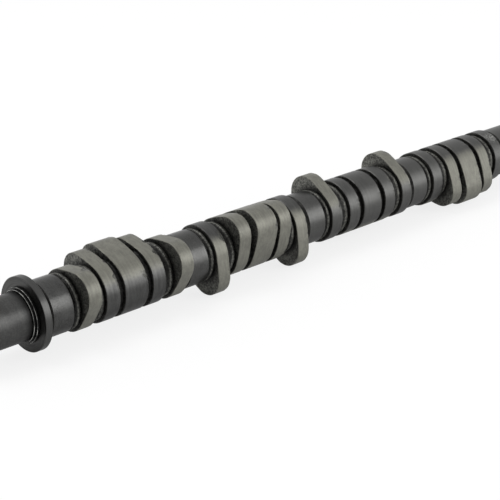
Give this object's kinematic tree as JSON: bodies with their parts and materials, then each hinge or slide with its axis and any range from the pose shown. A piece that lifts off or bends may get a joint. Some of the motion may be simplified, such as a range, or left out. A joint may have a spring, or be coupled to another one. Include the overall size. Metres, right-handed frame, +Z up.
{
  "type": "camshaft",
  "caption": "Cast-iron engine camshaft: one solid shaft with ground cam lobes between bearing journals, a thrust flange and a keyed nose for its pulley.",
  "frame": {"origin": "centre of the front journal, on the shaft's axis", "axes": "+X along the axis from the pulley nose to the rear journal, +Z up as the shaft lies at rest on its lobes, +Y across"},
  "size_m": [0.3966, 0.0406, 0.0406],
  "materials": {
    "cast_iron": "ground lobes and dark phosphated journals on a rough dark casting"
  },
  "bodies": {
    "root": {"camshaft": "cast_iron"}
  },
  "joints": []
}
